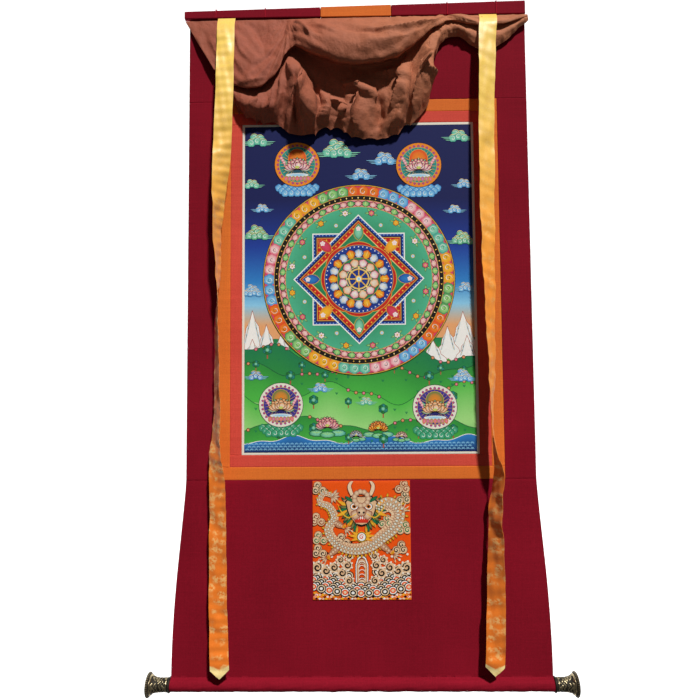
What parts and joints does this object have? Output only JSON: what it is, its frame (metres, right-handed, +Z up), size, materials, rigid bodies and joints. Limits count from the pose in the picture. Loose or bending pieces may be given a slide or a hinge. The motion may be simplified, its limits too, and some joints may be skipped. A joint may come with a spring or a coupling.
{
  "type": "thangka scroll painting",
  "caption": "Scroll painting on canvas in a pieced cloth mount, with a gathered silk veil, long ribbons and a capped roller at its foot.",
  "frame": {"origin": "middle of the heading's top edge, in the plane of the cloth's front face", "axes": "+Z up, +X to the viewer's right, +Y away from the viewer, towards the wall"},
  "size_m": [0.7944, 0.0907, 1.3276],
  "materials": {
    "maroon_cloth": "matt plain weave, deep maroon",
    "orange_cloth": "ribbed silk, orange",
    "red_cloth": "ribbed silk, coral red",
    "painted_canvas": "primed canvas with satin paint",
    "brocade": "silk brocade with raised pale gold threads",
    "veil_silk": "thin brown silk, soft sheen",
    "ribbon_satin": "gold damask satin",
    "tie_thread": "pink-red thread",
    "rod_wood": "plain turned wood",
    "cap_metal": "antique brass with dark patina in its relief"
  },
  "bodies": {
    "root": {"heading_left": "maroon_cloth", "heading_right": "maroon_cloth", "top_panel": "maroon_cloth", "left_panel": "maroon_cloth", "right_panel": "maroon_cloth", "bottom_panel": "maroon_cloth", "heading_centre": "orange_cloth", "orange_top": "orange_cloth", "orange_bottom": "orange_cloth", "orange_left": "orange_cloth", "orange_right": "orange_cloth", "red_top": "red_cloth", "red_bottom": "red_cloth", "red_left": "red_cloth", "red_right": "red_cloth", "painting": "painted_canvas", "door": "brocade", "dust_cover": "veil_silk", "ribbon_left": "ribbon_satin", "ribbon_right": "ribbon_satin", "tie_1": "tie_thread", "tie_2": "tie_thread", "tie_3": "tie_thread", "tie_4": "tie_thread", "roller_rod": "rod_wood", "cap_left": "cap_metal", "cap_right": "cap_metal"}
  },
  "joints": []
}
